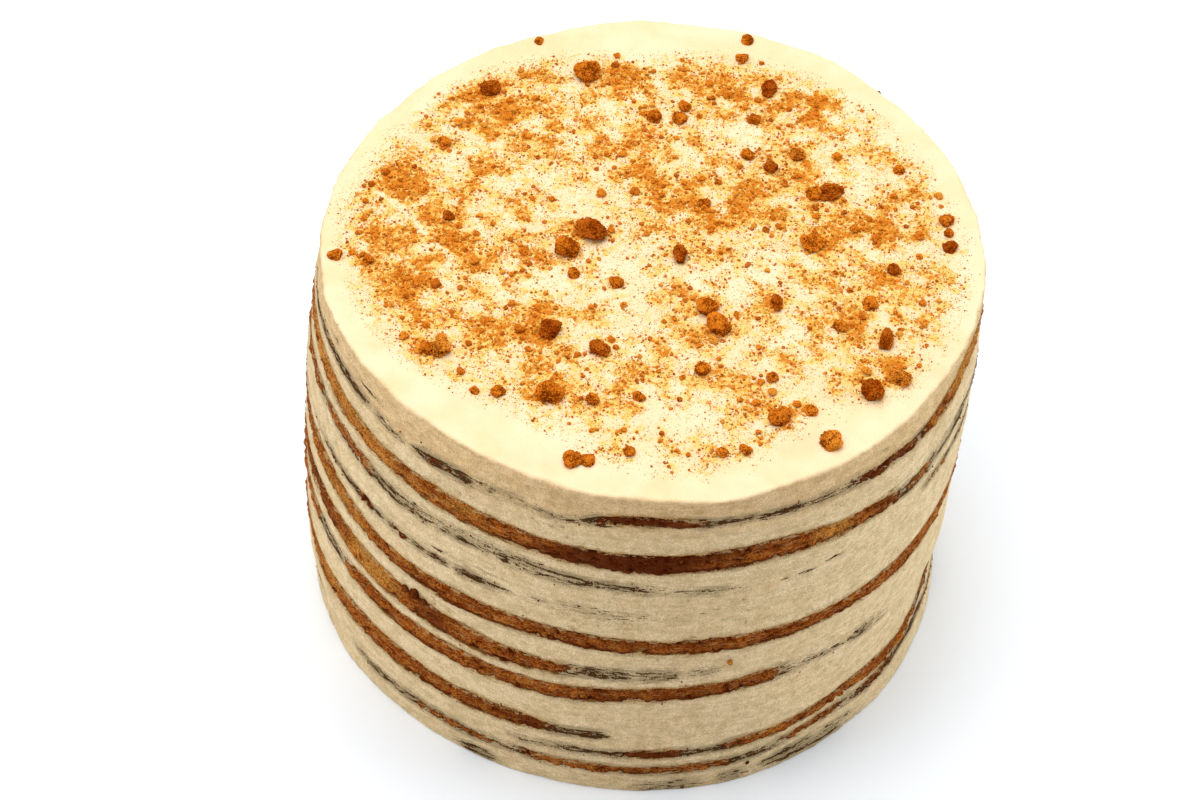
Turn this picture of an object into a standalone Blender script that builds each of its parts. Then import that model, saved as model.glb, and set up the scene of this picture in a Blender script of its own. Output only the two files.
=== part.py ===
"""Medovik, a small round honey cake: eleven honey biscuits with sour cream between them,
a thin scraped coat of cream that lets their edges show, and a top strewn with biscuit crumbs.

Lengths are in millimetres until a mesh is made, and angles are in degrees:
-90 is the front, 0 the right, 90 the back and 180 the left.
"""
import math
from collections import namedtuple

import bmesh
import bpy
import numpy as np

MM = 0.001

# Driving dimensions of the whole cake
RADIUS = 60.0
HEIGHT = 83.8
GAP = 0.3
SEGMENTS = 60

# How the cake departs from a true cylinder
LEFT_BULGE = 3.7
LEFT_BULGE_HEIGHT = 35.0
LEFT_BULGE_REACH = 51.0
RIGHT_DIP = 1.1
RIGHT_DIP_HEIGHT = 17.0
RIGHT_DIP_REACH = 7.0
WAIST_SWELL = 0.6
RIM_DEPTH = 6.0
RIM_WAVES = ((-34, -1.9, 19), (-75, 0.6, 13), (-122, -0.9, 14), (-160, 0.8, 14),
             (148, -0.7, 12), (60, 1.3, 12), (38, -0.7, 8))
TOP_WAVES = ((-38, -1.3, 14), (-150, 0.5, 18), (100, 0.4, 30))

# The rim of the top: (distance in from the outline, depth below the top)
RIM_STEPS = ((9.0, 0.0), (1.3, 0.05), (0.35, 0.5), (0.0, 1.5))

# Edge of a biscuit, measured in from the outline, where it shows and where cream hides it
BARE_EDGE_INSET = 0.7
COVERED_EDGE_INSET = 2.7
BARE_NOSE_INSET = 0.0
COVERED_NOSE_INSET = 1.7
ARC_SOFTNESS = 6.0

# A biscuit: height of its middle, thickness, (angle, rise, width) waves of its height,
# (angle, growth, width) swellings of its thickness, and the arcs where its edge shows
Biscuit = namedtuple("Biscuit", "level thickness waves swells bare_arcs")
BISCUITS = (
    Biscuit(77.2, 2.3,
            ((-168, -1.0, 12), (-88, 0.9, 12), (-42, -0.4, 12), (-14, 2.4, 9), (70, -0.8, 30), (145, 0.7, 25)),
            ((-18, 0.8, 10),),
            ((-168, -141), (-130, -121), (-98, -55), (-53, -6), (22, 64), (104, 150))),
    Biscuit(67.4, 3.8,
            ((-172, 3.0, 25), (-90, -0.8, 15), (-38, -2.0, 12), (55, 0.8, 35), (118, -0.9, 28)),
            ((-88, 0.8, 14), (-38, -0.8, 9)),
            ((-205, -36), (-8, 30), (68, 122))),
    Biscuit(60.0, 2.4,
            ((-172, 3.2, 25), (-118, 1.6, 12), (-62, -1.3, 22), (-26, 1.0, 12), (95, -0.7, 30)),
            (),
            ((-190, -137), (-126, -98), (-58, -50), (-32, -6), (42, 96))),
    Biscuit(52.8, 1.9,
            ((-168, 1.2, 15), (-125, -0.6, 20), (40, 0.8, 30), (130, -0.8, 30)),
            (),
            ((-163, -127), (-121, -111), (12, 54), (118, 160))),
    Biscuit(43.8, 3.6,
            ((-174, 4.0, 26), (-130, 0.6, 14), (-50, -1.0, 22), (-26, 0.5, 9), (80, 0.9, 35)),
            ((-130, 0.5, 30), (-60, -0.5, 15)),
            ((-200, 22), (58, 134))),
    Biscuit(35.0, 2.8,
            ((-170, 3.6, 18), (-140, 1.3, 14), (-62, 1.4, 25), (60, -0.7, 35), (130, 0.8, 25)),
            ((-142, 2.2, 22),),
            ((-195, -98), (48, 118))),
    Biscuit(29.3, 3.3,
            ((-125, -1.7, 24), (-60, 1.7, 24), (45, -0.9, 28), (165, 0.8, 25)),
            ((-120, 0.6, 22),),
            ((-152, -62), (28, 74), (150, 192))),
    Biscuit(17.5, 3.4,
            ((-168, 1.5, 15), (-122, -0.8, 20), (20, 0.8, 30), (110, -0.6, 25)),
            ((-150, 0.9, 25),),
            ((-178, -97), (-10, 46), (84, 140))),
    Biscuit(12.1, 2.3,
            ((-46, 1.1, 9), (-32, -1.0, 7), (65, 0.8, 30), (160, -0.3, 20)),
            (),
            ((-108, -33), (32, 100))),
    Biscuit(7.2, 2.2,
            ((-48, 1.2, 14), (-34, 0.3, 9), (-20, 0.8, 10), (60, 0.6, 30)),
            (),
            ((-140, -16), (64, 168))),
    Biscuit(1.7, 3.4, (), (), ((-180, 180),)),
)

# Crumbs that are singled out on the top: (x, y, width)
CRUMBS = (
    (-12.0, 2.4, 6.4), (-15.9, -1.8, 4.6), (4.5, -1.2, 4.2), (9.9, -14.1, 4.3), (12.0, -18.3, 4.9),
    (-17.7, -22.5, 4.3), (-8.7, -25.5, 4.0), (39.6, -30.6, 4.4), (44.4, -27.0, 4.2), (32.4, -43.5, 4.3),
    (23.4, -39.0, 4.3), (-16.8, -37.2, 5.2), (-36.6, -28.2, 4.8), (-39.0, -29.0, 3.0), (-12.0, -52.5, 3.5),
    (-9.4, -52.0, 2.9), (42.0, -18.3, 4.2), (33.6, -15.9, 2.8), (22.2, -11.7, 3.4), (28.2, 3.6, 4.6),
    (31.2, 17.1, 5.0), (28.6, 16.6, 3.4), (20.4, 22.8, 3.0), (25.2, 26.7, 3.0), (15.9, 25.8, 2.8),
    (16.8, 35.4, 2.8), (19.5, 43.8, 4.0), (14.1, 51.6, 2.6), (15.0, 56.8, 2.5), (-15.0, 44.4, 5.2),
    (-32.7, 38.4, 4.2), (-1.8, 33.9, 3.0), (3.0, 33.9, 3.1), (3.8, 37.2, 2.6), (-40.2, 23.1, 3.0),
    (8.4, 12.0, 2.6), (52.8, 12.3, 3.1), (53.2, 9.2, 2.0), (53.4, 5.7, 3.0), (44.1, 24.6, 2.3),
    (43.2, -1.2, 2.6), (39.0, -10.2, 3.0), (-14.4, -7.8, 2.5), (-6.6, -9.3, 2.8), (-37.8, 4.5, 2.4),
    (-51.3, -8.7, 2.4), (-57.4, -7.6, 2.9), (-25.8, -37.8, 2.8), (-30.0, -37.8, 2.0), (-9.3, -38.1, 2.6),
    (-1.2, -36.3, 2.5), (28.8, -36.6, 2.6), (13.5, -48.0, 2.3), (17.7, -47.1, 2.5), (-2.4, -49.5, 2.4),
    (9.6, -28.8, 3.0), (21.9, -29.7, 2.3), (-24.6, 52.2, 1.9),
)
# Patches where finer crumbs lie thick: (x, y, spread)
CRUMB_PATCHES = (
    (-36, 36, 7), (-25, 44, 6), (-46, 12, 6), (-38, -2, 6), (-44, -11, 5), (-21, 25, 7), (29, 41, 6),
    (6, 36, 6), (18, 9, 8), (-21, -22, 7), (-17, -36, 6), (43, -6, 6), (30, -38, 5), (0, 14, 9),
)
FINE_CRUMB_COUNT = 42
FINE_CRUMB_WIDTHS = (1.7, 2.3)
CRUMB_FLATNESS = 0.72
CRUMB_SUNK = 0.32
CRUMB_ROUGHNESS = 0.16
CRUMB_SEED = 23

ANGLES = np.arange(SEGMENTS) * 360.0 / SEGMENTS - 180.0


def wrapped(angle):
    """An angle brought to between -180 and 180."""
    return (np.asarray(angle, float) + 180.0) % 360.0 - 180.0


def waves(angle, table):
    """Sum of smooth bumps, each height * exp(-(angle from its middle / width) squared)."""
    total = np.zeros_like(np.asarray(angle, float))
    for middle, height, width in table:
        total = total + height * np.exp(-(wrapped(angle - middle) / width) ** 2)
    return total


def outline(angle, height):
    """Radius of the cake at an angle and a height: a circle, with the bumps of the rim
    fading downwards, a bulge on the left, a dip low on the right and a swollen waist."""
    turn = np.radians(angle)
    side = np.abs(np.cos(turn)) ** 3
    bulge = LEFT_BULGE * (1.0 - ((height - LEFT_BULGE_HEIGHT) / LEFT_BULGE_REACH) ** 2)
    dip = -RIGHT_DIP * np.exp(-((height - RIGHT_DIP_HEIGHT) / RIGHT_DIP_REACH) ** 2)
    rim = waves(angle, RIM_WAVES) * np.exp(-((HEIGHT - height) / RIM_DEPTH) ** 2)
    swell = WAIST_SWELL * (1.0 - (2.0 * height / HEIGHT - 1.0) ** 2) * np.sin(turn) ** 2
    return RADIUS + rim + swell + np.where(np.cos(turn) < 0.0, bulge, dip) * side


def middle_of_outline():
    """Middle of the box round the outline, which goes to the origin."""
    angle, height = np.meshgrid(ANGLES, np.linspace(0.0, HEIGHT, 85))
    radius = outline(angle, height)
    x = radius * np.cos(np.radians(angle))
    y = radius * np.sin(np.radians(angle))
    return (x.min() + x.max()) / 2.0, (y.min() + y.max()) / 2.0


MIDDLE_X, MIDDLE_Y = middle_of_outline()


def bareness(angle, arcs):
    """1 along the arcs where a biscuit's edge shows, 0 where cream covers it."""
    bare = np.zeros_like(angle)
    for start, end in arcs:
        beyond = np.abs(wrapped(angle - (start + end) / 2.0)) - (end - start) / 2.0
        bare = np.maximum(bare, np.clip(0.5 - beyond / ARC_SOFTNESS, 0.0, 1.0))
    return bare


def ring(inset, height):
    """Points all round the cake at a height, a little way in from its outline."""
    height = np.broadcast_to(height, ANGLES.shape)
    radius = outline(ANGLES, height) - inset
    turn = np.radians(ANGLES)
    return np.column_stack((radius * np.cos(turn) - MIDDLE_X, radius * np.sin(turn) - MIDDLE_Y, height))


def biscuit_levels(biscuit):
    """Heights of a biscuit's top, middle and underside round its edge."""
    middle = biscuit.level + waves(ANGLES, biscuit.waves)
    half = (biscuit.thickness + waves(ANGLES, biscuit.swells)) / 2.0
    return middle + half, middle, middle - half


def edge_inset(biscuit):
    """How far in from the outline a biscuit's upper and lower edges lie."""
    bare = bareness(ANGLES, biscuit.bare_arcs)
    return COVERED_EDGE_INSET + (BARE_EDGE_INSET - COVERED_EDGE_INSET) * bare


def nose_inset(biscuit):
    """How far in from the outline the outermost line of a biscuit's edge lies."""
    bare = bareness(ANGLES, biscuit.bare_arcs)
    return COVERED_NOSE_INSET + (BARE_NOSE_INSET - COVERED_NOSE_INSET) * bare


def lip_level(biscuit, face, direction):
    """Where the cream beside a biscuit ends at the outline: level with the biscuit's face
    where the edge shows, and at the middle of the edge where two lips of cream cover it."""
    middle = biscuit_levels(biscuit)[1]
    bare = bareness(ANGLES, biscuit.bare_arcs)
    return bare * (face + direction * GAP) + (1.0 - bare) * (middle + direction * GAP / 2.0)


def lofted_disc(name, top_centre, rings, bottom_centre, material):
    """A closed body: a fan from its top centre, bands between rings, and a fan below."""
    shape = bmesh.new()
    loops = [[shape.verts.new(point * MM) for point in points] for points in rings]
    top = shape.verts.new((-MIDDLE_X * MM, -MIDDLE_Y * MM, top_centre * MM))
    bottom = shape.verts.new((-MIDDLE_X * MM, -MIDDLE_Y * MM, bottom_centre * MM))
    for here in range(SEGMENTS):
        after = (here + 1) % SEGMENTS
        shape.faces.new((top, loops[0][here], loops[0][after]))
        shape.faces.new((bottom, loops[-1][after], loops[-1][here]))
        for upper, lower in zip(loops, loops[1:]):
            shape.faces.new((upper[here], lower[here], lower[after]))
            shape.faces.new((upper[here], lower[after], upper[after]))
    mesh = bpy.data.meshes.new(name)
    shape.to_mesh(mesh)
    shape.free()
    mesh.materials.append(material)
    mesh.shade_smooth()
    mesh.set_sharp_from_angle(angle=math.radians(40))
    return bpy.data.objects.new(name, mesh)


def honey_biscuit(name, biscuit, material):
    """A wavy disc whose edge is nearly flush where it shows and drawn in where it doesn't."""
    top, middle, underside = biscuit_levels(biscuit)
    rings = (ring(edge_inset(biscuit), top), ring(nose_inset(biscuit), middle),
             ring(edge_inset(biscuit), underside))
    half = biscuit.thickness / 2.0
    return lofted_disc(name, biscuit.level + half, rings, biscuit.level - half, material)


def cream_filling(name, above, below, material):
    """The cream between two biscuits, with lips that close over their covered edges."""
    under_above = biscuit_levels(above)[2]
    top_of_below = biscuit_levels(below)[0]
    rings = (ring(edge_inset(above), under_above - GAP),
             ring(0.0, lip_level(above, under_above, -1.0)),
             ring(0.0, lip_level(below, top_of_below, 1.0)),
             ring(edge_inset(below), top_of_below + GAP))
    upper = above.level - above.thickness / 2.0 - GAP
    lower = below.level + below.thickness / 2.0 + GAP
    return lofted_disc(name, upper, rings, lower, material)


def cream_top(name, below, material):
    """The top layer of cream, with a crisp rounded rim."""
    rim = HEIGHT + waves(ANGLES, TOP_WAVES)
    flat = HEIGHT + 0.3 * waves(ANGLES, TOP_WAVES)
    inner, *edge = RIM_STEPS
    top_of_below = biscuit_levels(below)[0]
    rings = [ring(inner[0], flat)]
    rings += [ring(inset, rim - depth) for inset, depth in edge]
    rings += [ring(0.0, lip_level(below, top_of_below, 1.0)), ring(edge_inset(below), top_of_below + GAP)]
    return lofted_disc(name, HEIGHT, rings, below.level + below.thickness / 2.0 + GAP, material)


def crumb(place, width, draw, material):
    """A lumpy biscuit crumb, a third sunk in the cream."""
    shape = bmesh.new()
    bmesh.ops.create_icosphere(shape, subdivisions=1, radius=0.5)
    long_side = draw.uniform(1.0, 1.25)
    sides = np.array((long_side, 1.0 / long_side, CRUMB_FLATNESS * draw.uniform(0.85, 1.15))) * width
    turn = draw.uniform(0.0, math.pi)
    across = np.array(((math.cos(turn), -math.sin(turn)), (math.sin(turn), math.cos(turn))))
    for vert in shape.verts:
        point = np.array(vert.co) * (1.0 + draw.uniform(-CRUMB_ROUGHNESS, CRUMB_ROUGHNESS)) * sides
        x, y = across @ point[:2] + place
        z = HEIGHT + point[2] + sides[2] * (0.5 - CRUMB_SUNK)
        vert.co = ((x - MIDDLE_X) * MM, (y - MIDDLE_Y) * MM, z * MM)
    mesh = bpy.data.meshes.new("crumb")
    shape.to_mesh(mesh)
    shape.free()
    mesh.materials.append(material)
    return bpy.data.objects.new("crumb", mesh)


def fine_crumb_places(draw, taken):
    """Seeded places for finer crumbs, round the middles of the patches and clear of others."""
    places = []
    while len(places) < FINE_CRUMB_COUNT:
        x, y, spread = CRUMB_PATCHES[len(places) % len(CRUMB_PATCHES)]
        spot = np.array((x, y)) + draw.normal(0.0, spread, 2)
        width = draw.uniform(*FINE_CRUMB_WIDTHS)
        room = min(math.dist(spot, other[:2]) - (width + other[2]) * 0.6 for other in taken + places)
        if room > 0.0 and np.hypot(*spot) < RADIUS - 6.0:
            places.append((spot[0], spot[1], width))
    return places


def strew_crumbs(top, materials):
    """Fuses the crumbs to the top layer of cream by one Boolean union."""
    draw = np.random.default_rng(CRUMB_SEED)
    heap = bpy.data.collections.new("crumbs")
    bpy.context.scene.collection.children.link(heap)
    for x, y, width in list(CRUMBS) + fine_crumb_places(draw, list(CRUMBS)):
        heap.objects.link(crumb((x, y), width, draw, materials["crumb"]))
    union = top.modifiers.new("crumbs", "BOOLEAN")
    union.operation = "UNION"
    union.operand_type = "COLLECTION"
    union.collection = heap
    union.solver = "EXACT"
    union.use_self = True
    bpy.context.view_layer.update()
    evaluated = top.evaluated_get(bpy.context.evaluated_depsgraph_get())
    fused = bpy.data.meshes.new_from_object(evaluated)
    top.modifiers.clear()
    top.data = fused
    for piece in list(heap.objects):
        bpy.data.objects.remove(piece)
    bpy.data.collections.remove(heap)


def plain_material(name, colour, roughness):
    """A matt material with the food's colour."""
    material = bpy.data.materials.new(name)
    material.use_nodes = True
    shader = material.node_tree.nodes["Principled BSDF"]
    shader.inputs["Base Color"].default_value = (*colour, 1.0)
    shader.inputs["Roughness"].default_value = roughness
    shader.inputs["Metallic"].default_value = 0.0
    return material


def build_cake():
    """All the nodes of the cake, from the top down."""
    for old in list(bpy.data.objects):
        bpy.data.objects.remove(old)
    cake = bpy.data.collections.new("medovik")
    bpy.context.scene.collection.children.link(cake)
    materials = {
        "cream": plain_material("cream", (0.82, 0.70, 0.50), 0.55),
        "biscuit": plain_material("biscuit", (0.32, 0.13, 0.04), 0.85),
        "crumb": plain_material("crumb", (0.55, 0.24, 0.06), 0.9),
    }
    top = cream_top("cream_top", BISCUITS[0], materials["cream"])
    cake.objects.link(top)
    strew_crumbs(top, materials)
    for number, biscuit in enumerate(BISCUITS, 1):
        cake.objects.link(honey_biscuit(f"honey_layer_{number:02d}", biscuit, materials["biscuit"]))
    for number, (above, below) in enumerate(zip(BISCUITS, BISCUITS[1:]), 1):
        cake.objects.link(cream_filling(f"cream_layer_{number:02d}", above, below, materials["cream"]))


build_cake()
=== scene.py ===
from collections import namedtuple
import math

import bmesh
import bpy
import numpy as np
from mathutils import Matrix


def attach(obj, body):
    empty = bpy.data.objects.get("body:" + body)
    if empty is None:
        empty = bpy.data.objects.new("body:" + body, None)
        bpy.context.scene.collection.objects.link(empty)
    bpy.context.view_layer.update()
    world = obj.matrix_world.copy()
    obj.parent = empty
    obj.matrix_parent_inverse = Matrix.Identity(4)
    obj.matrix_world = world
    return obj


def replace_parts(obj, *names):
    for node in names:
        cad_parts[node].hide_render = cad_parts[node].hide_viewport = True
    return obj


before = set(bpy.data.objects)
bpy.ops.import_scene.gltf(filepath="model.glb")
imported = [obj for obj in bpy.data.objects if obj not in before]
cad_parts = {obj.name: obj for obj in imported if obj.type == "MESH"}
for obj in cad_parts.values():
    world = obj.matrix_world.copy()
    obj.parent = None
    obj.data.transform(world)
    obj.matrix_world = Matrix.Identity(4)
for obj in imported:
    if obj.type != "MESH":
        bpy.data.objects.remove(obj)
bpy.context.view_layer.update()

# A small round honey cake. Lengths are in millimetres until a mesh is made, angles in degrees:
# -90 is the front, 0 the right, 90 the back and 180 the left.

MM = 0.001

# The cake's outline, as in the solids
RADIUS = 60.0
HEIGHT = 83.8
LEFT_BULGE = 3.7
LEFT_BULGE_HEIGHT = 35.0
LEFT_BULGE_REACH = 51.0
RIGHT_DIP = 1.1
RIGHT_DIP_HEIGHT = 17.0
RIGHT_DIP_REACH = 7.0
WAIST_SWELL = 0.6
RIM_DEPTH = 6.0
RIM_WAVES = ((-34, -1.9, 19), (-75, 0.6, 13), (-122, -0.9, 14), (-160, 0.8, 14),
             (148, -0.7, 12), (60, 1.3, 12), (38, -0.7, 8))
TOP_WAVES = ((-38, -1.3, 14), (-150, 0.5, 18), (100, 0.4, 30))
# Where the side stands out of the outline or in: (angle, height, rise, width, depth)
SIDE_SWELLS = (
    (50, 83.8, 1, 45, 6), (36, 83.8, 0.8, 9, 6), (74, 83.8, 0.8, 9, 6), (97, 83.8, 0.9, 8, 6),
    (-10, 60, 0.7, 22, 14), (-35, 8, -0.9, 24, 16), (-150, 10, 0.6, 25, 16), (-10, 12, -0.8, 20, 13),
)

# How finely the pieces are made, and how far in their hidden faces lie
COLUMNS = 1000
ROW_HEIGHT = 0.33
EDGE_ROW_HEIGHT = 0.3
TOP_RINGS = 60
BEND_RINGS = 6
RIM_ROWS = 19
HIDDEN_INSET = 3.5
EDGE_HIDDEN_INSET = 3.1
SKIRT_INSET = 1.6
SKIN_GAP = 0.15

# The biscuits' edges lie a little under the cream's outline. The cover is the cream over an
# edge: above 0 it hides the edge, below 0 the edge shows.
COAT_SINK = 0.25
TOP_SINK = 0.1
EDGE_SINK = 0.15
GRAIN_SINK = 0.1
EDGE_MARGIN = 0.35
EDGE_STAND = 0.3
COVERED_DEPTH = 1.0
COVER_HIDDEN = 0.6
COVER_BARE = -1.0
ARC_SOFTNESS = 15.0
PIT_DEPTH = 0.3
CORNER = 0.7

# Relief in several sizes: (rise, width of its cells, and on the side their height)
CREAM_RELIEF = ((0.22, 17, 6), (0.13, 8, 1.8), (0.07, 3, 0.8), (0.06, 0.9, 0.6))
COVER_SMEARS = ((0.42, 8, 1.2), (0.36, 2.6, 0.6), (0.3, 0.8, 0.42))
RAGGED_BORDER = ((0.22, 5, 4), (0.2, 2, 1.3), (0.1, 0.6, 0.6))
BISCUIT_GRAIN = ((0.16, 2.2, 1.6), (0.2, 1, 0.8), (0.16, 0.55, 0.5), (0.2, 5, 0.55))
CORNER_WAVES = ((0.25, 14, 50), (0.22, 3.5, 50))
WALL_WAVES = ((0.26, 6, 50), (0.14, 1.7, 50))
SPATULA_MARKS = ((0.22, 21), (0.1, 6), (0.04, 1.8))
DUST_CLUMPS = ((0.3, 8), (0.7, 2.9))
PATCH_BREAKS = ((0.7, 2.5), (0.45, 1.2))

# Each biscuit from the top down: height of its middle, thickness, (angle, rise, width) waves,
# (angle, growth, width) swellings, (start, end, bareness) arcs, (angle, amount, width) dark spells
BISCUIT_ROWS = (
    (77.2, 1.9,
     ((-168, -1.2, 6), (-138, -1.1, 22), (-103, -1.5, 5), (-90, 0.75, 9), (-72, 0.5, 9), (-40, -0.6, 13),
      (-14, 2, 9), (70, -0.8, 30), (145, 0.7, 25)),
     ((-95, 0.3, 4), (-104, -0.8, 6), (-64, -0.4, 8), (-42, 0.3, 9), (-18, 1.3, 9)),
     ((-176, -143, 0.55), (-143, -133, 0.34), (-131, -119, 0.64), (-119, -107, 0.3), (-109, -98, 0.34),
      (-98, -78, 1), (-79, -69, 0.42), (-70, -61, 0.5), (-62, -50, 0.36), (-53, -33, 0.8), (-36, 8, 1),
      (3, 34, 0.7), (30, 58, 0.46), (52, 70, 0.68), (64, 118, 0.95), (112, 140, 0.6), (136, 170, 0.42)),
     ((-90, 1.1, 12), (-125, 0.6, 12), (-46, 0.9, 14), (-16, -0.7, 12))),
    (67.4, 3.8,
     ((-172, 3, 25), (-128, 0.4, 20), (-90, -0.8, 15), (-56, -0.5, 8), (-38, -1.9, 12), (55, 0.8, 35),
      (118, -0.9, 28)),
     ((-150, -0.2, 20), (-123, 0.6, 9), (-88, 0.6, 10), (-68, 0.9, 10), (-38, -0.9, 9)),
     ((-205, -38, 1), (-40, -29, 0.7), (-31, -14, 0.5), (-14, 8, 0.66), (2, 98, 1), (94, 116, 0.68),
      (112, 134, 0.45), (134, 160, 0.7)),
     ((-90, 1.5, 10), (-104, 0.4, 10), (-74, 0.5, 10), (-150, -0.6, 28), (-54, -0.8, 5), (-43, 0.5, 6),
      (95, 0.7, 20))),
    (60, 2.4,
     ((-172, 3.2, 25), (-146, 0.7, 8), (-118, 1.5, 12), (-62, -1.3, 22), (-26, 0.8, 12), (95, -0.7, 30)),
     ((-148, 0.6, 9), (-119, 0.7, 8), (-70, -1.3, 16), (-32, -1.1, 9)),
     ((-190, -158, 0.8), (-160, -138, 0.74), (-140, -126, 0.6), (-127, -112, 0.5), (-115, -104, 0.6),
      (-106, -96, 0.5), (-98, -84, 0.4), (-85, -70, 0.28), (-33, -21, 0.6), (-23, -8, 0.45), (0, 40, 0.5),
      (34, 66, 0.7), (60, 130, 0.95), (124, 150, 0.6), (148, 174, 0.45)),
     ((-110, 0.8, 25), (-60, 0.5, 14))),
    (52.5, 1,
     ((-168, 1.2, 15), (-134, -0.6, 10), (-116, -0.5, 12), (40, 0.8, 30), (130, -0.8, 30)),
     ((-142, 0.7, 3), (-120, 0.4, 4)),
     ((-164, -158, 0.35), (-158, -143, 0.64), (-145, -140, 0.9), (-141, -136, 0.5), (-137, -131, 0.74),
      (-132, -123, 0.56), (-122, -111, 0.5), (-111, -84, 0.24), (-4, 30, 0.36), (26, 60, 0.62),
      (56, 86, 0.42), (96, 128, 0.55), (122, 168, 0.85), (164, 192, 0.5)),
     ((-125, 1, 30),)),
    (43.8, 3.3,
     ((-174, 4, 26), (-152, 0.4, 8), (-104, 0.4, 10), (-50, -1, 22), (-33, -0.6, 12), (80, 0.9, 35)),
     ((-156, 1.3, 10), (-122, 0.9, 10), (-28, 1.7, 10)),
     ((-200, 62, 1), (56, 80, 0.68), (78, 104, 0.45), (98, 122, 0.7), (114, 164, 1)),
     ((-95, 0.3, 20), (-60, 0.2, 20), (-150, -0.4, 12))),
    (35, 2.8,
     ((-170, 3.6, 18), (-140, 0.3, 14), (-112, -0.6, 14), (-96, 0.5, 6), (-62, 1.4, 25), (60, -0.7, 35),
      (130, 0.8, 25)),
     ((-142, 2.4, 24), (-120, 0.9, 10)),
     ((-195, -98, 1), (-99, -88, 0.56), (-89, -80, 0.42), (-80, -73, 0.28), (16, 44, 0.45), (38, 62, 0.7),
      (56, 132, 1), (126, 150, 0.64), (146, 170, 0.72)),
     ((-157, 0.7, 9), (-140, -1, 7), (-126, 0.7, 5), (-104, 0.4, 10))),
    (29.3, 3.3,
     ((-125, -1.7, 24), (-103, -0.5, 8), (-84, 0.5, 8), (-58, 2, 22), (45, -0.9, 28), (165, 0.8, 25)),
     ((-152, -1.2, 7), (-120, 0.4, 22), (-54, -0.9, 8)),
     ((-158, -147, 0.6), (-149, -61, 1), (-62, -47, 0.36), (-48, -40, 0.42), (-41, -36, 0.3),
      (-6, 22, 0.5), (14, 84, 0.95), (78, 104, 0.6), (108, 136, 0.45), (130, 154, 0.7), (148, 202, 1)),
     ((-80, 0.4, 18),)),
    (17.4, 3.4,
     ((-168, 0.5, 12), (-154, -0.8, 8), (-120, -1.1, 20), (20, 0.8, 30), (110, -0.6, 25)),
     ((-154, 0.8, 9), (-146, 0.7, 25), (-134, 0.5, 6), (-98, -1.3, 8)),
     ((-178, -100, 1), (-101, -92, 0.5), (8, 62, 0.95), (56, 78, 0.62), (74, 98, 0.45), (92, 114, 0.7),
      (106, 152, 1), (146, 186, 0.68)),
     ((-155, -0.4, 12), (-108, 0.7, 14))),
    (12.1, 2.3,
     ((-107, -1.1, 6), (-86, -0.3, 12), (-46, 1.1, 12), (-30, -1.7, 9), (65, 0.8, 30), (160, -0.3, 20)),
     ((-104, -1.2, 9), (-93, -0.9, 4), (-75, -0.9, 3), (-34, 1.2, 10)),
     ((-109, -96, 0.6), (-97, -90, 0.45), (-91, -77, 0.9), (-78, -72, 0.5), (-73, -18, 0.95),
      (-22, 2, 0.66), (0, 30, 0.42), (26, 50, 0.7), (44, 110, 0.95), (104, 130, 0.6), (132, 162, 0.4)),
     ((-84, 0.7, 8), (-50, 0.3, 14))),
    (6.7, 1.9,
     ((-50, 2.2, 12), (-20, 0.8, 10), (60, 0.6, 30)),
     ((-66, -0.5, 6), (-52, -0.3, 6), (-38, 0.7, 8)),
     ((-146, -132, 0.5), (-134, -108, 0.68), (-110, -67, 0.82), (-69, -60, 0.5), (-62, -43, 0.85),
      (-45, -26, 0.75), (-28, 0, 0.5), (30, 60, 0.5), (54, 82, 0.7), (76, 172, 0.92), (168, 200, 0.5)),
     ((-60, 0.3, 20), (-30, 0.5, 14))),
    (1.7, 3.4,
     ((-52, 1.3, 13),),
     ((-52, 1.2, 12),),
     ((-63, -42, 0.5), (-72, -66, 0.35), (-87, -74, 0.36), (-120, -112, 0.42), (-10, 30, 0.3),
      (60, 110, 0.36), (130, 170, 0.32)),
     ((-52, 1, 14), (-108, 0.8, 14))),
)

# Crumbs that stand out on the top: (x, y, width), as in the solids
CRUMBS = (
    (-12, 2.4, 6.4), (-15.9, -1.8, 4.6), (4.5, -1.2, 4.2), (9.9, -14.1, 4.3), (12, -18.3, 4.9),
    (-17.7, -22.5, 4.3), (-8.7, -25.5, 4), (39.6, -30.6, 4.4), (44.4, -27, 4.2), (32.4, -43.5, 4.3),
    (23.4, -39, 4.3), (-16.8, -37.2, 5.2), (-36.6, -28.2, 4.8), (-39, -29, 3), (-12, -52.5, 3.5),
    (-9.4, -52, 2.9), (42, -18.3, 4.2), (33.6, -15.9, 2.8), (22.2, -11.7, 3.4), (28.2, 3.6, 4.6),
    (31.2, 17.1, 5), (28.6, 16.6, 3.4), (20.4, 22.8, 3), (25.2, 26.7, 3), (15.9, 25.8, 2.8),
    (16.8, 35.4, 2.8), (19.5, 43.8, 4), (14.1, 51.6, 2.6), (15, 56.8, 2.5), (-15, 44.4, 5.2),
    (-32.7, 38.4, 4.2), (-1.8, 33.9, 3), (3, 33.9, 3.1), (3.8, 37.2, 2.6), (-40.2, 23.1, 3),
    (8.4, 12, 2.6), (52.8, 12.3, 3.1), (53.2, 9.2, 2), (53.4, 5.7, 3), (44.1, 24.6, 2.3),
    (43.2, -1.2, 2.6), (39, -10.2, 3), (-14.4, -7.8, 2.5), (-6.6, -9.3, 2.8), (-37.8, 4.5, 2.4),
    (-51.3, -8.7, 2.4), (-57.4, -7.6, 2.9), (-25.8, -37.8, 2.8), (-30, -37.8, 2), (-9.3, -38.1, 2.6),
    (-1.2, -36.3, 2.5), (28.8, -36.6, 2.6), (13.5, -48, 2.3), (17.7, -47.1, 2.5), (-2.4, -49.5, 2.4),
    (9.6, -28.8, 3), (21.9, -29.7, 2.3), (-24.6, 52.2, 1.9),
)
CRUMB_FLATNESS = 0.78
LARGE_CRUMB = 3.9
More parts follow.
